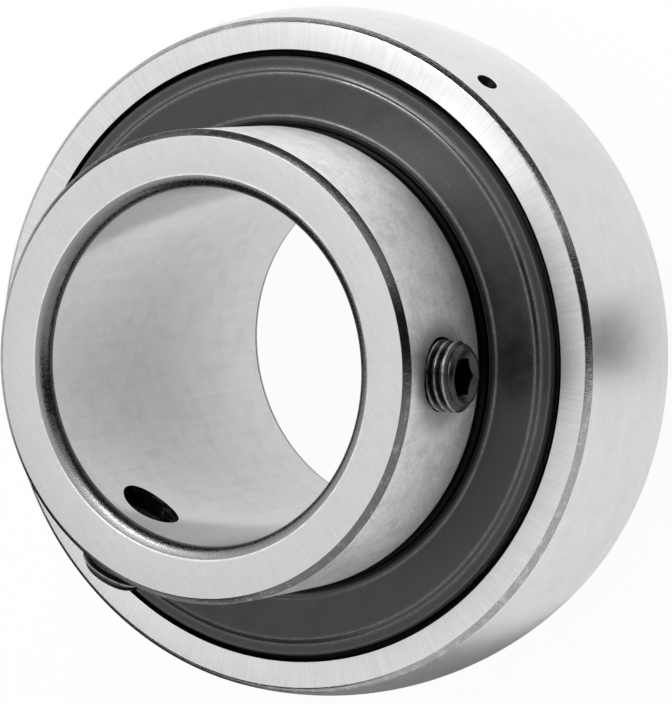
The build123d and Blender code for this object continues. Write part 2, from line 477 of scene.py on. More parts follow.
@dataclass(frozen=True)
class GroundSteel:
    """Bearing steel with the lines of a grinding wheel."""

    name: str
    lay: Lay
    level: float = 0.55
    swing: float = 0.06  # how much lines and grain change the brightness
    cloud: float = 0.04  # how much soft stains change it
    grain: float = 0.25  # the grain's share beside the lines
    roughness: float = 0.40
    stretch: float = 0.8  # how far gloss spreads across the lines
    glance: float = 1.0  # how bright it stays at a glancing angle
    depth: float = 0.0012
    lines: float = 5.0  # in a millimetre
    streaks: float = 150.0  # in a turn, where they run across
    length: float = 5.0  # of those streaks, in millimetres
    angle: float = 0.0
    painted_shade_heights: tuple[float, float, float] | None = None  # heights where the painted shade is black, thin and gone
    haze: float = 0.12  # how much painted shade lies where it is thin
    holes: tuple[tuple[float, float, float], ...] = ()  # places in metres with painted shade round them
    shadow_halo: tuple[float, float, float] = (4.0, 7.5, 0.55)  # radii where that painted shade starts and ends, and how much

    def painted_shade(self, surface: Surface) -> Socket:
        """How much painted shade darkens the steel: black in the groove by the flinger, thinner up the ring,
        and round the screw holes.

        Args:
            surface: The material in work.

        Returns:
            From 0, unshaded, to 1, black.
        """
        thick, thin, clean = self.painted_shade_heights
        start, end, most = self.shadow_halo
        level = surface.maths("ABSOLUTE", surface.shaft()["Height"])
        haze = surface.rise(level, thin, clean, self.haze, 0.0)
        amount = surface.maths("MAXIMUM", surface.rise(level, thick, thick + 0.3, 1.0, 0.0), haze)
        for hole in self.holes:
            away = surface.vector("DISTANCE", surface.place, hole)
            amount = surface.maths("MAXIMUM", amount, surface.rise(away, start * MM, end * MM, most, 0.0))
        return amount

    def pattern(self, surface: Surface) -> tuple[Socket, Socket]:
        """The main lines and the ones beside them.

        Args:
            surface: The material in work.

        Returns:
            Both, from 0 to 1.
        """
        if self.lay is Lay.ROUND:
            lines = surface.rounds(self.lines, 5.0)
            return lines["Fine"], lines["Broad"]
        if self.lay is Lay.ACROSS:
            values = {"Vector": surface.place, "Streaks": self.streaks, "Length mm": self.length}
            streaks = surface.group(Effects.cross_lines(), values)["Lines"]
            return streaks, surface.rounds(self.lines, 9.0)["Fine"]
        fine = surface.straights(self.angle, self.lines, 7.0)
        return fine, surface.straights(self.angle + 0.5, self.lines * 0.3, 12.0)

    def build(self) -> Material:
        """Make the material."""
        surface = Surface(self.name, Metallic=1.0, Anisotropic=self.stretch, Anisotropic_Rotation=0.25,
                          Specular_Tint=grey(self.glance))
        fine, broad = self.pattern(surface)
        spots = surface.spots(0.4, 1.4)
        lined = surface.maths("ADD", surface.maths("MULTIPLY", fine, 0.8),
                              surface.maths("MULTIPLY", broad, 0.2))
        grains = surface.maths("MULTIPLY", spots["Grains"], self.grain)
        both = surface.maths("ADD", surface.maths("MULTIPLY", lined, 1 - self.grain), grains)
        dark, light = grey(self.level * (1 - self.swing)), grey(self.level * (1 + self.swing))
        shade = surface.mix(surface.rise(both, 0.35, 0.65), dark, light)
        stain = surface.rise(spots["Patches"], 0.4, 0.75, 0.0, self.cloud)
        colour = surface.mix(stain, shade, grey(self.level * 0.4, 0.01))
        # Painted shade: black in the flinger's groove, fading up the ring, and a painted shadow round the
        # screw holes.
        if self.painted_shade_heights:
            colour = surface.mix(self.painted_shade(surface), colour, grey(0.006))
        rough = surface.rise(spots["Grains"], 0.3, 0.7, self.roughness * 0.95, self.roughness * 1.05)
        return surface.finish(colour, rough, fine, self.depth)


@dataclass(frozen=True)
class HardenedEdge:
    """A chamfer or rounding that keeps the dark skin of hardening, rubbed bright in places; its near-black
    settings serve as painted shade in gaps and holes.
    """

    name: str
    dark: float = 0.055
    bright: float = 0.20
    warmth: float = 0.03
    roughness: float = 0.40
    patches: float = 1.0
    rubbed: float = 0.58  # level of the patches above which the skin is rubbed off
    fade: tuple[float, float] | None = None  # radii between which the colour goes from dark at the bore to light towards the face

    def build(self) -> Material:
        """Make the material."""
        surface = Surface(self.name, Metallic=1.0)
        spots = surface.spots(self.patches, 2.2)
        lines = surface.rounds(5.0, 14.0)
        level = surface.maths("MULTIPLY", surface.maths("ADD", spots["Patches"], lines["Fine"]), 0.5)
        black, brown = grey(self.dark * 0.8, self.warmth), grey(self.dark * 1.3, self.warmth)
        rub = surface.rise(level, self.rubbed - 0.08, self.rubbed + 0.12)
        # Darker towards the bore, lighter towards the face, between the fade radii.
        if self.fade:
            thin = surface.rise(surface.shaft()["Radius"], *self.fade)
            rub = surface.maths("MAXIMUM", surface.maths("MULTIPLY", rub, 0.4), thin)
        skin = surface.mix(spots["Grains"], black, brown)
        colour = surface.mix(rub, skin, grey(self.bright, self.warmth / 2))
        rough = surface.rise(spots["Grains"], 0.2, 0.8, self.roughness * 0.8, self.roughness * 1.25)
        return surface.finish(colour, rough, spots["Grains"], 0.012)


@dataclass(frozen=True)
class BlackCoat:
    """Satin black coat on pressed steel, worn bright where it bends, partly wear and partly painted
    highlight, with painted shade at the hub and the rim.
    """

    name: str
    level: float = 0.013
    roughness: float = 0.27
    bends: tuple[tuple[float, float, float, float], ...] = (  # rubbed radii, partly wear and partly painted highlight, how far in and out, and how much
        (27.62, 0.2, 0.35, 0.30), (32.48, 0.45, 0.12, 0.34),
        (32.95, 0.1, 0.5, 0.28), (34.1, 0.25, 0.08, 0.15))
    recess: tuple[float, float] = (26.95, 34.16)  # painted shade darkens the coat inside and outside these radii, in the groove at the hub and the gap at the rim

    def build(self) -> Material:
        """Make the material."""
        surface = Surface(self.name, IOR=1.6, Anisotropic=0.5, Anisotropic_Rotation=0.25)
        radius = surface.shaft()["Radius"]
        lines = surface.rounds(2.0, 3.0)
        spots = surface.spots(0.5, 1.5)
        # Bare metal bands at the bends: partly wear, partly painted highlight along the bends.
        masks = [surface.maths("MINIMUM", surface.rise(radius, bend - inward, bend, 0.0, share),
                               surface.rise(radius, bend, bend + outward, share, 0.0))
                 for bend, inward, outward, share in self.bends]
        rub = masks[0]
        for mask in masks[1:]:
            rub = surface.maths("MAXIMUM", rub, mask)
        rub = surface.maths("MULTIPLY", rub, surface.rise(spots["Grains"], 0.3, 0.7, 0.55, 1.0))
        # Painted shade: near black in the groove at the hub and in the gap at the rim.
        inner, outer = self.recess
        painted_gap_shade = surface.maths("MAXIMUM", surface.rise(radius, inner - 0.12, inner + 0.08, 1.0, 0.0),
                               surface.rise(radius, outer - 0.05, outer + 0.1))
        base = surface.mix(spots["Patches"], grey(self.level * 0.8), grey(self.level * 1.25))
        colour = surface.mix(painted_gap_shade, surface.mix(rub, base, grey(0.36)), grey(0.002))
        bare = surface.maths("MULTIPLY", rub, surface.maths("SUBTRACT", 1.0, painted_gap_shade))
        surface.link(bare, surface.shader, "Metallic")
        uneven = surface.maths("ADD", surface.rise(lines["Broad"], 0.3, 0.7, -0.03, 0.05), self.roughness)
        sheen = surface.maths("ADD", uneven, surface.rise(spots["Patches"], 0.3, 0.7, -0.04, 0.06))
        worn = surface.maths("SUBTRACT", sheen, surface.maths("MULTIPLY", rub, 0.45))
        rough = surface.maths("MAXIMUM", worn, surface.maths("MULTIPLY", painted_gap_shade, 0.85))
        grain = surface.maths("ADD", surface.maths("MULTIPLY", spots["Grains"], 0.6), lines["Fine"])
        return surface.finish(colour, rough, grain, 0.006)


@dataclass(frozen=True)
class BlackOxide:
    """Blackened screw steel whose thread crests are rubbed bright, partly wear and partly painted highlight.
    """

    name: str
    point: tuple[float, float, float]  # where the screw's point lies, in metres
    turn: float  # the screw's direction from +X, in radians
    crest: float
    roughness: float = 0.27

    def build(self) -> Material:
        """Make the material."""
        surface = Surface(self.name, Metallic=1.0)
        inputs = {"Vector": surface.vector("SUBTRACT", surface.place, self.point), "Angle": -self.turn}
        turned = surface.add("ShaderNodeVectorRotate", {"rotation_type": "Z_AXIS"}, inputs)
        radius = surface.vector("LENGTH", surface.vector("MULTIPLY", turned.outputs[0], (0, 1, 1)))
        spots = surface.spots(1.4, 1.8)
        # Bright crests: partly wear, partly painted highlight along the thread.
        edge = surface.rise(radius, (self.crest - 0.22) * MM, self.crest * MM)
        rub = surface.maths("MULTIPLY", edge, surface.rise(spots["Patches"], 0.2, 0.6, 0.35, 1.0))
        base = surface.mix(spots["Grains"], grey(0.028, 0.02), grey(0.085, 0.02))
        colour = surface.mix(rub, base, grey(0.34, 0.01))
        rough = surface.rise(spots["Patches"], 0.2, 0.8, self.roughness * 0.8, self.roughness * 1.3)
        return surface.finish(colour, rough, spots["Grains"], 0.010)


@dataclass(frozen=True)
class PressedSteel:
    """Tumbled sheet or cold-formed steel."""

    name: str
    level: float = 0.42
    roughness: float = 0.32
    patches: float = 0.6
    painted_gap_shade: float | None = None  # radius outside which painted shade darkens the sheet in the gap

    def build(self) -> Material:
        """Make the material."""
        surface = Surface(self.name, Metallic=1.0)
        spots = surface.spots(self.patches, 1.6)
        colour = surface.mix(spots["Patches"], grey(self.level * 0.8), grey(self.level * 1.15))
        # Painted shade where the sheet lies in the gap behind the flinger.
        if self.painted_gap_shade:
            gap_shaded = surface.rise(surface.shaft()["Radius"], self.painted_gap_shade - 0.2, self.painted_gap_shade)
            colour = surface.mix(gap_shaded, colour, grey(0.006))
        rough = surface.rise(spots["Grains"], 0.2, 0.8, self.roughness * 0.8, self.roughness * 1.25)
        return surface.finish(colour, rough, spots["Grains"], 0.01)


@dataclass(frozen=True)
class PolishedBall:
    """Lapped ball steel with hair lines."""

    name: str
    level: float = 0.68
    roughness: float = 0.08

    def build(self) -> Material:
        """Make the material."""
        surface = Surface(self.name, Metallic=1.0)
        hair = surface.straights(0.7, 9.0, 3.0)
        haze = surface.spots(0.4, 1.3)
        colour = surface.mix(haze["Patches"], grey(self.level * 0.95), grey(self.level * 1.05))
        rough = surface.rise(hair, 0.35, 0.75, self.roughness * 0.7, self.roughness * 1.7)
        return surface.finish(colour, rough, hair, 0.0006)


@dataclass(frozen=True)
class MattRubber:
    """Moulded seal rubber."""

    name: str
    level: float = 0.022
    roughness: float = 0.62

    def build(self) -> Material:
        """Make the material."""
        surface = Surface(self.name)
        spots = surface.spots(2.0, 1.6)
        colour = surface.mix(spots["Patches"], grey(self.level * 0.7), grey(self.level * 1.5))
        rough = surface.rise(spots["Grains"], 0.2, 0.8, self.roughness * 0.85, self.roughness * 1.15)
        return surface.finish(colour, rough, spots["Grains"], 0.015)


# Pieces
def dress(piece: Piece, main: Material, zones: dict[Material, Test] | None = None) -> None:
    """Give a piece its main finish, and other finishes to the faces that a test picks.

    Args:
        piece: The piece, in object mode.
        main: The finish of all other faces.
        zones: The test of each other finish.
    """
    piece.data.materials.clear()
    piece.data.materials.append(main)
    Bench.pick(piece)
    bpy.ops.object.mode_set(mode="EDIT")
    for index, (material, test) in enumerate((zones or {}).items(), start=1):
        piece.data.materials.append(material)
        Bench.choose(piece, "FACE", test)
        piece.active_material_index = index
        bpy.ops.object.material_slot_assign()
    bpy.ops.object.mode_set(mode="OBJECT")


def off_axis(place: Vector) -> float:
    """Distance from the shaft axis."""
    return math.hypot(place.x, place.y)


def stand_in_for(piece: Piece, node: str, body: str) -> None:
    """Let a finished piece take a CAD node's place and body, hiding the node, and log it."""
    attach(piece, body)
    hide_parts(node)
    log.info("%s stands for %s, %d faces", piece.name, node, len(piece.data.polygons))


@dataclass
class RollingSet:
    """Radii and heights that the rings, the seals and the flingers share, in millimetres."""

    pitch: float = 30.0
    ball: float = 12.0
    play: float = 0.03
    track: float = 6.24
    inner_land: float = 26.5
    outer_land: float = 33.5
    seal_floor: float = 7.6
    seal_wall: float = 34.95
    face: float = 10.5
    steps: int = 384
    track_steps: int = 24

    def track_edge(self) -> float:
        """Height at which a track leaves its land."""
        inward = self.pitch - self.ball / 2 - self.play + self.track - self.inner_land
        return math.sqrt(self.track**2 - inward**2)

    def track_angle(self) -> float:
        """Angle of a track's arc, in degrees."""
        return 2 * math.degrees(math.asin(self.track_edge() / self.track))


@dataclass
class OuterRing:
    """Ring with a spherical outside, a ball track, two seal seats and two lubrication holes."""

    rolling: RollingSet
    seat: float = 40.0
    chamfer: float = 0.41
    chamfer_angle: float = 50.0
    mouth: float = 0.2
    soft: float = 0.05
    lit: float = 0.16  # rounding between the face and its chamfer
    hole: float = 2.1
    hole_height: float = 6.45
    hole_angles: tuple[float, float] = (54.0, 174.0)
    hole_start: float = 29.25  # where the drill starts, from the shaft axis
    broken: tuple[float, float] = (0.5, 0.45)  # how much wider the hole's broken edge is, and how deep

    def face_edge(self) -> float:
        """Radius at which the face meets its chamfer."""
        return math.sqrt(self.seat**2 - self.rolling.face**2) - self.chamfer

    def chamfer_end(self) -> tuple[float, float]:
        """Where the face's chamfer meets the spherical seat, as radius and height."""
        slope = math.tan(math.radians(self.chamfer_angle))
        level = self.rolling.face + slope * self.face_edge()
        reach = 1 + slope**2
        half = level * slope / reach
        radius = half + math.sqrt(half**2 - (level**2 - self.seat**2) / reach)
        return radius, level - slope * radius

    def build(self) -> Piece:
        """Model the ring."""
        kit = self.rolling
        edge = self.face_edge()
        end, drop = self.chamfer_end()
        outline = Outline("outer_ring_ground", kit.outer_land, kit.seal_floor)
        outline.line(kit.outer_land, kit.track_edge(), self.soft)
        outline.arc(kit.pitch + kit.ball / 2 + kit.play - kit.track, 0, kit.track_angle(), kit.track_steps)
        outline.line(kit.outer_land, -kit.seal_floor, self.soft)
        outline.line(kit.seal_wall, -kit.seal_floor, self.soft)
        outline.line(kit.seal_wall, self.mouth - kit.face, self.soft)
        outline.line(kit.seal_wall + self.mouth, -kit.face, self.soft)
        outline.line(edge, -kit.face, self.lit, 6)
        outline.line(end, -drop, self.soft)
        outline.arc(0, 0, -2 * math.degrees(math.asin(drop / self.seat)), 48)
        outline.corners.append((end, drop, self.soft, 3))
        outline.line(edge, kit.face, self.lit, 6)
        outline.line(kit.seal_wall + self.mouth, kit.face, self.soft)
        outline.line(kit.seal_wall, kit.face - self.mouth, self.soft)
        outline.line(kit.seal_wall, kit.seal_floor, self.soft)
        ring = outline.close().turn(kit.steps)
        for angle in self.hole_angles:
            self.drill(ring, angle)
        Bench.tidy(ring)
        return ring

    def drill(self, ring: Piece, angle: float) -> None:
        """Drill one lubrication hole through the ring, with its edge broken outside.

        Args:
            ring: The ring.
            angle: The hole's direction from +X, in degrees.
        """
        wider, deep = self.broken
        length, past, shorter = 12.0, 2.0, 2.12
        Bench.clear()
        bpy.ops.mesh.primitive_cylinder_add(vertices=48, radius=self.hole / 2 * MM, depth=length * MM)
        drill = bpy.context.object
        bpy.ops.object.mode_set(mode="EDIT")
        Bench.choose(drill, "FACE", lambda _, normal: normal.z > 0.9)
        bpy.ops.transform.translate(value=(0, 0, -shorter * MM))
        bpy.ops.mesh.extrude_region_move(TRANSFORM_OT_translate={"value": (0, 0, deep * MM)})
        grown = (self.hole + wider) / self.hole
        bpy.ops.transform.resize(value=(grown, grown, 1))
        bpy.ops.mesh.extrude_region_move(TRANSFORM_OT_translate={"value": (0, 0, past * MM)})
        bpy.ops.object.mode_set(mode="OBJECT")
        out = Matrix.Translation(((self.hole_start + length / 2) * MM, 0, self.hole_height * MM))
        turn = Matrix.Rotation(math.radians(angle), 4, "Z")
        Bench.place(drill, turn @ out @ Matrix.Rotation(math.pi / 2, 4, "Y"))
        Bench.combine(ring, drill)

    def dress(self, ring: Piece) -> None:
        """Give the ring's zones their finishes."""
        kit = self.rolling
        drop = self.chamfer_end()[1]
        corner = kit.seal_wall + self.mouth - 0.02
        seat = GroundSteel("seat_ground", Lay.ROUND, level=0.79, swing=0.04, cloud=0.07, stretch=0.7,
                           depth=0.0008)
        face = GroundSteel("outer_face_ground", Lay.ACROSS, level=0.72, roughness=0.36, stretch=0.65,
                           grain=0.1, depth=0.0022)
        inside = GroundSteel("outer_inside_ground", Lay.ROUND, level=0.30)
        chamfer = HardenedEdge("outer_chamfer_skin", dark=0.34, bright=0.50, warmth=0.01, roughness=0.15)
        # Painted shade: near black on the seal seat and the mouth, so the gap beside the flinger reads black.
        seat_shade = HardenedEdge("seal_seat_painted_shade", dark=0.008, bright=0.02, roughness=0.6)
        # Painted shade: near black inside the lubrication holes and on their broken edges.
        drilled = HardenedEdge("drilled_hole_painted_shade", dark=0.012, bright=0.05, rubbed=0.7)
        dress(ring, seat.build(), {
            face.build(): lambda middle, normal: abs(normal.z) > 0.99 and abs(middle.z) > kit.face - 0.02,
            inside.build(): lambda middle, _: off_axis(middle) < corner,
            seat_shade.build(): lambda middle, _: kit.seal_wall - 0.02 < off_axis(middle) < corner
            and abs(middle.z) > kit.seal_floor,
            chamfer.build(): lambda middle, _: off_axis(middle) > 38
            and drop - 0.02 < abs(middle.z) < kit.face - 0.005,
            drilled.build(): self.is_drilled,
        })

    def is_drilled(self, middle: Vector, normal: Vector) -> bool:
        """Whether a face lies inside a lubrication hole."""
        reach = (self.hole + self.broken[0]) / 2 + 0.02
        for turn in map(math.radians, self.hole_angles):
            out = Vector((math.cos(turn), math.sin(turn), 0))
            along = middle.dot(out)
            from_axis = middle - out * along - Vector((0, 0, self.hole_height))
            if along > self.hole_start and from_axis.length < reach and abs(normal.dot(out)) < 0.8:
                return True
        return False


@dataclass
class Thread:
    """A metric thread as a rod along +Z, in millimetres."""

    pitch: float = 1.0
    flank_angle: float = 30.0
    spare: int = 3  # turns at each end that the cuts take off
    steps: int = 72

    def rod(self, name: str, root: float, crest: float, flat: float, length: float, lift: float) -> Piece:
        """Model a threaded rod that is cut off square at both ends.

        Args:
            name: Name of the rod.
            root: Radius of the thread's root.
            crest: Radius of its crest.
            flat: Width of the flat on the crest.
            length: Length of the rod from the origin upwards.
            lift: Height of the middle of a crest on the +X side.

        Returns:
            The rod.
        """
        flank = (crest - root) * math.tan(math.radians(self.flank_angle))
        middle = root + (crest - root) * 0.5
        below = lift - flat / 2 - flank - self.spare * self.pitch
        outline = Outline(name, root, below)
        outline.line(middle, below + flank / 2)
        outline.line(crest, below + flank)
        outline.line(crest, below + flank + flat)
        outline.line(middle, below + flank * 1.5 + flat)
        outline.line(root, below + 2 * flank + flat)
        outline.line(root, below + self.pitch)
        bpy.ops.object.mode_set(mode="OBJECT")
        rod = outline.piece
        turns = math.ceil(length / self.pitch) + 2 * self.spare
        Bench.modify(rod, "SCREW", axis="Z", angle=math.tau, screw_offset=self.pitch * MM, iterations=turns,
                     steps=self.steps, render_steps=self.steps, use_merge_vertices=False)
        Bench.pick(rod)
        bpy.ops.object.mode_set(mode="EDIT")
        bpy.ops.mesh.select_all(action="SELECT")
        bpy.ops.mesh.remove_doubles(threshold=0.001 * MM)
        for height, side in ((0.0, "clear_inner"), (length, "clear_outer")):
            bpy.ops.mesh.bisect(plane_co=(0, 0, height * MM), plane_no=(0, 0, 1), use_fill=True,
                                threshold=0.0001 * MM, **{side: True})
            bpy.ops.mesh.select_all(action="SELECT")
        bpy.ops.mesh.normals_make_consistent(inside=False)
        bpy.ops.object.mode_set(mode="OBJECT")
        return rod


@dataclass
class SetScrews:
    """Two hexagon socket set screws with a cup point."""

    thread: Thread
    size: float = 8.0
    length: float = 8.0
    crest: float = 3.97
    root: float = 3.39
    flat: float = 0.13
    end_chamfer: float = 0.85
    sink: float = 5.7  # diameter of the socket's countersunk entry
    phase: float = 0.55  # height of a crest's middle on the side of +X, from the point
    point: float = 5.8
    point_length: float = 1.0
    cup: float = 4.8
    cup_depth: float = 0.7
    socket: float = 4.0
    socket_depth: float = 4.0
    socket_cone: float = 0.9
    height: float = 22.2
    bore: float = 20.0
    angles: tuple[float, float] = (0.0, -122.5)
    stands_at: tuple[float, float] = (9.4, 9.7)
    hole_crest: float = 4.0  # innermost radius of a tapped hole's thread
    hole_root: float = 4.3
    hole_flat: float = 0.25
    mouth: float = 3.55  # radius of a tapped hole where it enters the bore
    mouth_depth: float = 0.95
    mouth_cone: float = 0.6  # height over which the mouth widens to the thread

    def point_at(self, number: int) -> float:
        """Distance of a screw's point from the shaft axis."""
        return self.bore + self.stands_at[number - 1] - self.length

    def place(self, number: int, start: float) -> Matrix:
        """Where something drawn along +Z goes to lie on a screw's axis.

        Args:
            number: Which screw.
            start: Distance of its origin from the shaft axis, in millimetres.

        Returns:
            The matrix.
        """
        turn = Matrix.Rotation(math.radians(self.angles[number - 1]), 4, "Z")
        out = Matrix.Translation((start * MM, 0, self.height * MM))
        return turn @ out @ Matrix.Rotation(math.pi / 2, 4, "Y")

    def model(self) -> Piece:
        """Model one screw along +Z with its point at the origin."""
        screw = self.thread.rod("set_screw_model", self.root, self.crest, self.flat, self.length + 1,
                                self.phase)
        past = self.crest + 0.08
        shape = Outline("screw_shape", 0.0, self.cup_depth)
        shape.line(self.cup / 2, 0.0, 0.03, 2)
        shape.line(self.point / 2, 0.0, 0.06)
        shape.line(past, self.point_length + 0.05)
        shape.line(past, self.length - self.end_chamfer - 0.05, 0.05)
        shape.line(self.size / 2 - self.end_chamfer, self.length, 0.07)
        shape.line(0.0, self.length)
        Bench.combine(screw, shape.turn(96), "INTERSECT")
        Bench.combine(screw, self.key_hole())
        Bench.tidy(screw, 25)
        return screw

    def key_hole(self) -> Piece:
        """The space of the hexagon socket, with the drill's cone at its bottom and a broken edge."""
        Bench.clear()
        length = self.socket_depth + 1
        middle = self.length - self.socket_depth + length / 2
        corner = self.socket / math.sqrt(3)
        bpy.ops.mesh.primitive_cylinder_add(vertices=6, radius=corner * MM, depth=length * MM,
                                            location=(0, 0, middle * MM))
        hexagon = bpy.context.object
        hexagon.name = "key_hole"
        hexagon.rotation_euler.z = math.radians(30)
        bpy.ops.object.transform_apply(location=True, rotation=True, scale=False)
        bpy.ops.object.mode_set(mode="EDIT")
        Bench.choose(hexagon, "FACE", lambda _, normal: normal.z < -0.9)
        bpy.ops.mesh.extrude_region_move(TRANSFORM_OT_translate={"value": (0, 0, -self.socket_cone * MM)})
        bpy.ops.transform.resize(value=(0.05, 0.05, 1))
        bpy.ops.object.mode_set(mode="OBJECT")
        entry = Outline("countersink", 0.0, self.length - 0.5)
        depth = (self.sink - self.socket) / 2 * math.tan(math.radians(30))
        entry.line(self.socket / 2 - 0.1, self.length - depth - 0.06)
        entry.line(self.sink / 2, self.length)
        entry.line(self.sink / 2 + 0.12, self.length + 0.2)
        entry.line(0.0, self.length + 0.2)
        Bench.combine(hexagon, entry.turn(64), "UNION")
        return hexagon

    def build(self) -> list[Piece]:
        """Model both screws and put them in their holes."""
        first = self.model()
        screws = [first, Bench.copy(first, "set_screw_threaded_2")]
        first.name = "set_screw_threaded_1"
        for number, screw in enumerate(screws, start=1):
            Bench.place(screw, self.place(number, self.point_at(number)))
        return screws

    def tap(self, number: int) -> Piece:
        """The space of one tapped hole, to be cut from the inner ring.

        Its thread keeps step with the screw's and stays just outside it, so a screw that slides
        without turning never cuts into the ring. Towards the bore it narrows like the screw's point.

        Args:
            number: Which screw it is for.

        Returns:
            The space.
        """
        start = self.bore + self.mouth_depth
        step = (self.point_at(number) - start + self.phase) % self.thread.pitch
        rod = self.thread.rod("tap", self.hole_crest, self.hole_root, self.hole_flat, 10.0, step)
        neck = self.hole_crest - 0.02
        below, overlap = -6.0, 0.5
        mouth = Outline("tap_mouth", 0.0, below)
        mouth.line(self.mouth, below)
        mouth.line(self.mouth, -self.mouth_cone)
        mouth.line(neck, 0.0)
        mouth.line(neck, overlap)
        mouth.line(0.0, overlap)
        Bench.combine(rod, mouth.turn(self.thread.steps), "UNION")
        Bench.place(rod, self.place(number, start))
        return rod

    def dress(self, screws: list[Piece]) -> None:
        """Give each screw its finish, centred on its own axis."""
        for number, screw in enumerate(screws, start=1):
            where = self.place(number, self.point_at(number)).translation
            turn = math.radians(self.angles[number - 1])
            dress(screw, BlackOxide(f"screw_{number}_black", tuple(where), turn, self.crest).build())


@dataclass
class InnerRing:
    """Long ring with a bore, a ball track and two tapped holes."""

    rolling: RollingSet
    screws: SetScrews
    bore: float = 20.0
    long_side: float = 30.2
    short_side: float = 19.0
    bore_round: float = 1.6
    chamfer: float = 0.75
    soft: float = 0.06
    relief: tuple[float, float, float] = (11.75, 13.95, 0.4)  # heights and depth of a flinger's groove
    tapped_wall: tuple[float, float] = (16.5, 28.0)  # heights between which the tapped holes lie
    tapped_reach: float = 4.4  # how far above or below its axis a tapped hole's faces lie

    def build(self) -> Piece:
        """Model the ring."""
        kit = self.rolling
        land, rim = kit.inner_land, kit.inner_land - self.chamfer
        low, high, deep = self.relief
        outline = Outline("inner_ring_ground", self.bore, 8.0)
        outline.line(self.bore, -self.short_side, self.bore_round, 12)
        outline.line(rim, -self.short_side, self.soft)
        outline.line(land, self.chamfer - self.short_side, self.soft)
        outline.line(land, -high - deep / 2, 0.04)
        outline.line(land - deep, -high, 0.1)
        outline.line(land - deep, -low - deep / 2, 0.1)
        outline.line(land, -low)
        outline.line(land, -kit.track_edge(), self.soft)
        outline.arc(kit.pitch - kit.ball / 2 - kit.play + kit.track, 0, kit.track_angle(), kit.track_steps)
        outline.line(land, low)
        outline.line(land - deep, low + deep / 2, 0.1)
        outline.line(land - deep, high, 0.1)
        outline.line(land, high + deep / 2, 0.04)
        for height in self.tapped_wall:
            outline.line(land, height)
        outline.line(land, self.long_side - self.chamfer, self.soft)
        outline.line(rim, self.long_side, self.soft)
        outline.line(self.bore, self.long_side, self.bore_round, 12)
        for height in reversed(self.tapped_wall):
            outline.line(self.bore, height)
        ring = outline.close().turn(kit.steps)
        for number in (1, 2):
            Bench.combine(ring, self.screws.tap(number))
        Bench.tidy(ring)
        return ring

    def near_end(self, height: float, depth: float) -> bool:
        """Whether a height lies this near to one of the ring's two ends."""
        return height > self.long_side - depth or height < depth - self.short_side

    def is_tapped(self, middle: Vector, normal: Vector) -> bool:
        """Whether a face lies inside a tapped hole."""
        outwards = Vector((middle.x, middle.y, 0)).normalized()
        in_wall = self.bore < off_axis(middle) < self.rolling.inner_land
        near = abs(middle.z - self.screws.height) <= self.tapped_reach
        return in_wall and near and abs(normal.dot(outwards)) < 0.98

    def dress(self, ring: Piece) -> None:
        """Give the ring's zones their finishes."""
        land = self.rolling.inner_land
        wall = self.bore + 0.005
        holes = tuple(tuple(self.screws.place(number, land).translation) for number in (1, 2))
        # The outside gets painted shade by the flinger's groove and round the screw holes.
        outside = GroundSteel("inner_outside_ground", Lay.ROUND, level=0.79, swing=0.07, cloud=0.22,
                              grain=0.6, stretch=0.75, painted_shade_heights=(12.8, 14.2, 18.5), holes=holes)
        face = GroundSteel("inner_face_ground", Lay.STRAIGHT, level=0.62, swing=0.04, cloud=0.02,
                           roughness=0.33, stretch=0.0, lines=4.0, angle=0.9)
        bore = GroundSteel("bore_ground", Lay.ACROSS, level=0.58, swing=0.035, cloud=0.12, roughness=0.17,
                           stretch=0.4, glance=0.93, grain=0.3, depth=0.0001, streaks=30.0, length=25.0)
        chamfer = HardenedEdge("inner_chamfer_skin", dark=0.14, bright=0.28, warmth=0.01, roughness=0.17,
                               rubbed=0.63)
        rounding = HardenedEdge("bore_round_skin", dark=0.13, bright=0.30, warmth=0.02, patches=0.9,
                                roughness=0.25, rubbed=0.6, fade=(20.3, 21.6))
        tapped = HardenedEdge("tapped_hole_skin", dark=0.03, bright=0.25, roughness=0.30)
        dress(ring, outside.build(), {
            face.build(): lambda middle, normal: abs(normal.z) > 0.999 and self.near_end(middle.z, 0.01),
            bore.build(): lambda middle, _: off_axis(middle) < wall,
            chamfer.build(): lambda middle, normal: off_axis(middle) > land - self.chamfer - 0.01
            and self.near_end(middle.z, self.chamfer + 0.01) and 0.1 < abs(normal.z) < 0.97,
            rounding.build(): lambda middle, normal: wall < off_axis(middle) < self.bore + self.bore_round
            and self.near_end(middle.z, self.bore_round) and abs(normal.z) < 0.995,
            tapped.build(): self.is_tapped,
        })


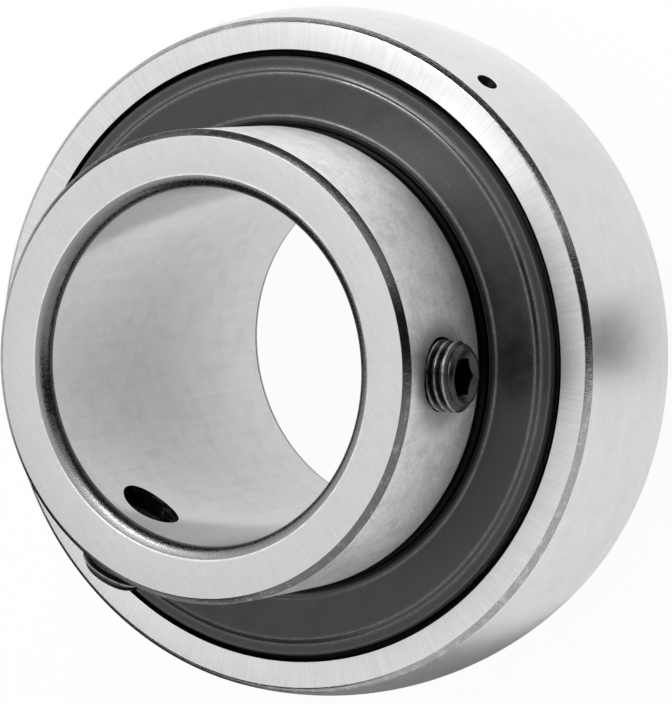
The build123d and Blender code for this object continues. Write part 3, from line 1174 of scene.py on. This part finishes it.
@dataclass
class Flingers:
    """Pressed black discs that turn with the inner ring, one on each side."""

    rolling: RollingSet
    sheet: float = 0.8
    rise: float = 1.1
    step: float = 0.5
    band: float = 1.33
    slope: float = 0.55
    fall: tuple[tuple[float, float], ...] = (  # how far in and up the step's bevel goes
        (0.0, 0.0), (0.27, 0.13), (0.43, 0.29), (0.62, 0.39))
    hub: float = 2.4
    bend: float = 0.75
    soften: float = 0.25
    ridge: tuple[float, float, float] = (1.0, 1.2, 0.11)  # where it falls, from the bore, and how deep
    gap: float = 0.6

    def build(self) -> list[Piece]:
        """Model the front flinger and mirror a copy to the rear."""
        kit = self.rolling
        hub = kit.inner_land + self.sheet
        top = kit.face + self.rise
        rim = kit.seal_wall - self.gap
        low, edge = top - self.step, rim - self.band
        start, end, deep = self.ridge
        outline = Outline("flinger_pressed_front", kit.inner_land, top - self.hub)
        outline.line(hub, top - self.hub, 0.08)
        outline.line(hub, top - self.sheet, self.soften, 5)
        outline.line(edge - self.slope, top - self.sheet)
        outline.line(edge, low - self.sheet)
        outline.line(rim, low - self.sheet, 0.06)
        outline.line(rim, low, self.soften, 6)
        for inward, upward in self.fall:
            outline.line(edge - inward, low + upward, 0.06, 4)
        outline.line(kit.inner_land + end, top - deep, 0.1, 5)
        outline.line(kit.inner_land + start, top, 0.1, 5)
        outline.line(kit.inner_land, top, self.bend, 12)
        front = outline.close().turn(kit.steps)
        rear = Bench.copy(front, "flinger_pressed_rear")
        Bench.place(rear, Matrix.Scale(-1, 4, (0, 0, 1)))
        Bench.tidy(rear)
        return [front, rear]

    def dress(self, discs: list[Piece]) -> None:
        """Give both discs the black coat."""
        coat = BlackCoat("flinger_coat").build()
        for disc in discs:
            dress(disc, coat)


@dataclass
class Inside:
    """Balls, cage and seals, kept from the CAD and given their finishes."""

    balls: int = 9

    def dress(self) -> None:
        """Give every kept CAD node its finish."""
        ball = PolishedBall("ball_lapped").build()
        cage = PressedSteel("cage_tumbled").build()
        rivet = PressedSteel("rivet_formed", level=0.48, roughness=0.28, patches=1.5).build()
        core = PressedSteel("seal_core_sheet", level=0.33, roughness=0.4, painted_gap_shade=34.0).build()
        rubber = MattRubber("seal_rubber_moulded").build()
        finishes = {f"ball_{number}": ball for number in range(1, self.balls + 1)}
        finishes |= {f"cage_rivet_{number}": rivet for number in range(1, self.balls + 1)}
        for side in ("front", "rear"):
            finishes |= {f"cage_{side}": cage, f"seal_core_{side}": core, f"seal_rubber_{side}": rubber}
        for name, material in finishes.items():
            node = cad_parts[name]
            if node.material_slots:
                node.material_slots[0].material = material
            else:
                node.data.materials.append(material)
            log.info("%s keeps its CAD shape in %s", name, material.name)


# Studio
@dataclass
class Studio:
    """Pale floor, white surroundings, soft lamps and the camera."""

    floor_height: float = -0.01905
    floor_size: float = 6.0
    floor_white: float = 0.96  # how much of the floor's white is its own where the camera sees it
    mirror_white_and_shade: tuple[float, float, float] = (0.52, 1.0, 0.77)  # for gloss, the floor's white with painted shade under the bearing: mid bore, bore wall, outside
    mirror_painted_shadow: float = 0.60  # for gloss: painted shadow outside on the side away from the key lamp
    key_side: tuple[float, float, float] = (-0.643, 0.766, 0.0)
    lamp_distance: float = 0.9
    lens: float = 249.06
    camera_place: tuple[float, float, float] = (0.27336, 0.04474, 0.49427)
    camera_aim: tuple[float, float, float] = (0.00082, -0.00007, 0.0)
    camera_roll: float = -97.31

    def camera(self) -> None:
        """Put the camera where the photograph was taken from."""
        bpy.ops.object.camera_add(location=self.camera_place)
        camera = bpy.context.object
        camera.name = "camera"
        back = (Vector(self.camera_place) - Vector(self.camera_aim)).normalized()
        roll = Matrix.Rotation(math.radians(self.camera_roll), 4, "Z").to_quaternion()
        camera.rotation_mode = "QUATERNION"
        camera.rotation_quaternion = back.to_track_quat("Z", "Y") @ roll
        camera.data.lens = self.lens
        camera.data.clip_start = 0.01
        bpy.context.scene.camera = camera

    @staticmethod
    def bare(name: str) -> tuple[Material, Sketch]:
        """A new material with nothing but its output node."""
        material = bpy.data.materials.new(name)
        material.use_nodes = True
        material.node_tree.nodes.remove(material.node_tree.nodes["Principled BSDF"])
        return material, Sketch(material.node_tree)

    @staticmethod
    def blend(sketch: Sketch, amount: Socket, first: bpy.types.Node, second: bpy.types.Node) -> None:
        """Let a material go from one shader to another by an amount."""
        inputs = {0: amount, 1: first.outputs[0], 2: second.outputs[0]}
        mixed = sketch.add("ShaderNodeMixShader", {}, inputs)
        sketch.link(mixed.outputs[0], sketch.tree.nodes["Material Output"], "Surface")

    @staticmethod
    def rays(sketch: Sketch) -> tuple[Socket, Socket]:
        """One for rays from the camera, and one for rays off gloss or through glass."""
        path = sketch.add("ShaderNodeLightPath").outputs
        gloss = sketch.maths("MAXIMUM", path["Is Glossy Ray"], path["Is Transmission Ray"])
        return path["Is Camera Ray"], gloss

    def floor(self) -> None:
        """Lay the pale floor, which keeps the bearing's shadow, with a painted shadow under the bearing and
        away from the key lamp that only gloss sees.
        """
        Bench.clear()
        bpy.ops.mesh.primitive_plane_add(size=self.floor_size, location=(0, 0, self.floor_height))
        floor = bpy.context.object
        floor.name = "floor"
        material, sketch = self.bare("floor_pale")
        paper = sketch.add("ShaderNodeBsdfDiffuse", {}, {"Color": grey(0.9)})
        glow = sketch.add("ShaderNodeEmission", {}, {"Color": grey(1.0), "Strength": 1.0})
        camera, gloss = self.rays(sketch)
        place = sketch.add("ShaderNodeTexCoord").outputs["Object"]
        radius = sketch.round_place(place)[0]
        # For gloss rays the floor's white is painted down under the bearing and on the side away from the key
        # lamp: a painted shadow that the steel reflects.
        middle, wall, outside = self.mirror_white_and_shade
        towards = sketch.vector("DOT_PRODUCT", place, self.key_side)
        lit = sketch.maths("ADD", sketch.rise(towards, 5 * MM, 30 * MM, 0.0, 1.0 - outside),
                           sketch.rise(towards, -50 * MM, -30 * MM, self.mirror_painted_shadow, outside))
        share = sketch.maths("MINIMUM", sketch.rise(radius, 2.0, 22.0, middle, wall),
                             sketch.maths("MAXIMUM", lit, sketch.rise(radius, 20.5, 25.0, 1.0, 0.0)))
        direct = sketch.maths("MULTIPLY", camera, self.floor_white)
        amount = sketch.maths("MAXIMUM", direct, sketch.maths("MULTIPLY", gloss, share))
        self.blend(sketch, amount, paper, glow)
        floor.data.materials.append(material)

    def surroundings(self) -> None:
        """Make the world white to look at and a softer white as light."""
        world = bpy.data.worlds.new("surroundings")
        bpy.context.scene.world = world
        world.use_nodes = True
        sketch = Sketch(world.node_tree)
        background = world.node_tree.nodes["Background"]
        background.inputs["Color"].default_value = grey(1.0)
        seen = sketch.maths("MAXIMUM", *self.rays(sketch))
        strength = sketch.add("ShaderNodeMapRange", {}, {0: seen, 3: 0.65, 4: 1.0})
        sketch.link(strength.outputs[0], background, "Strength")

    @staticmethod
    def direction(azimuth: float, elevation: float) -> Vector:
        """A unit vector at an angle from +X and a height above the floor, both in degrees."""
        turn, rise = math.radians(azimuth), math.radians(elevation)
        return Vector((math.cos(turn) * math.cos(rise), math.sin(turn) * math.cos(rise), math.sin(rise)))

    def lamp(self, name: str, azimuth: float, elevation: float, wide: float, high: float,
             level: float) -> None:
        """Hang one soft lamp that faces the bearing.

        Args:
            name: Name of the lamp.
            azimuth: Its direction from +X, in degrees.
            elevation: Its height above the floor, in degrees.
            wide: Width, in metres.
            high: Height, in metres.
            level: How bright it looks, where white paper is 1.
        """
        out = self.direction(azimuth, elevation)
        bpy.ops.object.light_add(type="AREA", location=out * self.lamp_distance)
        lamp = bpy.context.object
        lamp.name = name
        lamp.rotation_mode = "QUATERNION"
        lamp.rotation_quaternion = out.to_track_quat("Z", "Y")
        lamp.data.shape = "RECTANGLE"
        lamp.data.size, lamp.data.size_y = wide, high
        lamp.data.energy = level * math.pi * wide * high

    def card(self, name: str, azimuth: float, elevation: float, wide: float, high: float) -> None:
        """Stand a dark card a metre away, which draws dark bands in the steel."""
        out = self.direction(azimuth, elevation)
        facing = out.to_track_quat("Z", "Y").to_matrix().to_4x4()
        self.black(name, wide, high, Matrix.Translation(out) @ facing)

    def floor_shade_card(self, name: str, x: float, y: float, wide: float, high: float) -> None:
        """Lay a dark card just above the floor that only gloss sees, a painted shade on the floor for the
        steel to reflect.
        """
        self.black(name, wide, high, Matrix.Translation((x, y, self.floor_height + 0.2 * MM)))

    def black(self, name: str, wide: float, high: float, where: Matrix) -> None:
        """Put a matt black card somewhere.

        Args:
            name: Name of the card.
            wide: Width, in metres.
            high: Height, in metres.
            where: Its place.
        """
        Bench.clear()
        bpy.ops.mesh.primitive_plane_add(size=1)
        card = bpy.context.object
        card.name = name
        card.dimensions = (wide, high, 0)
        bpy.ops.object.transform_apply(location=False, rotation=False, scale=True)
        Bench.place(card, where)
        card.data.materials.append(self.card_dark())

    @staticmethod
    @cache
    def card_dark() -> Material:
        """The cards' matt black, which only gloss shows."""
        material, sketch = Studio.bare("card_dark")
        path = sketch.add("ShaderNodeLightPath")
        black = sketch.add("ShaderNodeBsdfDiffuse", {}, {"Color": grey(0.03)})
        clear = sketch.add("ShaderNodeBsdfTransparent")
        Studio.blend(sketch, path.outputs["Is Glossy Ray"], clear, black)
        return material

    def build(self) -> None:
        """Set the scene."""
        self.camera()
        self.floor()
        self.surroundings()
        self.lamp("lamp_key", 106, 44, 0.68, 0.8, 1.58)
        self.lamp("lamp_edge", 92, 41, 0.5, 0.10, 15.0)
        self.card("card_front", 12, 33, 0.64, 1.3)
        self.card("card_side", 78, 9, 1.9, 0.48)
        self.card("card_low", -140, 18, 1.4, 0.8)
        # Painted shadow and painted dark floor beside the bearing, seen only in the steel.
        self.floor_shade_card("card_floor_back", -0.40, 0.30, 0.5, 0.5)
        self.floor_shade_card("card_floor", -0.1125, -0.074, 0.275, 0.088)
        self.floor_shade_card("card_floor_front", 0.128, 0.005, 0.14, 0.017)
        bpy.context.scene.view_settings.view_transform = "Standard"


def main() -> None:
    """Build the bearing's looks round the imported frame."""
    logging.basicConfig(level=logging.INFO, format="%(name)s: %(message)s")
    Studio().build()
    rolling = RollingSet()
    screws = SetScrews(Thread())
    for maker, side in ((OuterRing(rolling), "outer"), (InnerRing(rolling, screws), "inner")):
        ring = maker.build()
        maker.dress(ring)
        stand_in_for(ring, f"{side}_ring", f"{side}_ring")

    flingers = Flingers(rolling)
    discs = flingers.build()
    flingers.dress(discs)
    for disc, side in zip(discs, ("front", "rear")):
        stand_in_for(disc, f"flinger_{side}", "inner_ring")

    threaded = screws.build()
    screws.dress(threaded)
    for number, screw in enumerate(threaded, start=1):
        stand_in_for(screw, f"set_screw_{number}", f"set_screw_{number}")

    Inside().dress()
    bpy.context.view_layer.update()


if __name__ == "__main__":
    main()
